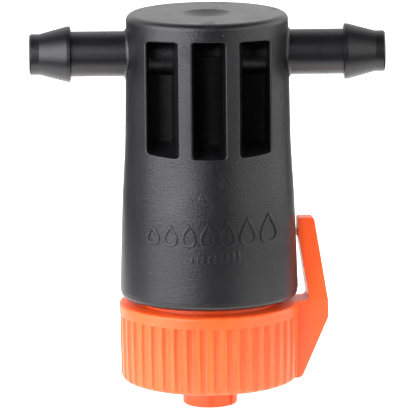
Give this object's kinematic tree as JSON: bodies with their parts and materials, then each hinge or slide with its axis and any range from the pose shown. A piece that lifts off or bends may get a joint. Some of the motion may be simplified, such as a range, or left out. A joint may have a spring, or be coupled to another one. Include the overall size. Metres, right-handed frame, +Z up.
{
  "type": "adjustable drip emitter",
  "caption": "In-line drip emitter: black windowed housing with a barbed tee, and an orange fluted screw cap with side lever and spout that sets the flow.",
  "frame": {"origin": "on the emitter's axis, at the tip of the spout", "axes": "+Z up the emitter's axis from spout to crown, +X along the tee's run towards the barb above the lever, -Y the windowed front"},
  "size_m": [0.0322, 0.0164, 0.0362],
  "materials": {
    "black_pp": "fine spark-eroded grain, satin",
    "orange_pp": "semi-gloss, slightly translucent",
    "natural_acetal": "satin",
    "black_rubber": "matte"
  },
  "bodies": {
    "housing_body": {"housing": "black_pp", "seat_washer": "black_rubber", "gland_bush": "black_pp"},
    "ring_body": {"cap_o_ring": "black_rubber"},
    "cap_body": {"cap": "orange_pp", "metering_spindle": "natural_acetal", "metering_sleeve": "natural_acetal", "spindle_o_ring": "black_rubber"}
  },
  "joints": [
    {"name": "cap_travel", "type": "slide", "parent": "housing_body", "child": "ring_body", "axis": [0, 0, 1], "range_m": [-0.0015, 0.0005]},
    {"name": "cap_turn", "type": "hinge", "parent": "ring_body", "child": "cap_body", "pos_m": [0, 0, 0.00958], "axis": [0, 0, 1], "range_deg": [-270, 90]}
  ],
  "couplings": [
    {"joint": "cap_turn", "follows": "cap_travel", "rad_per_m": 3141.6}
  ]
}
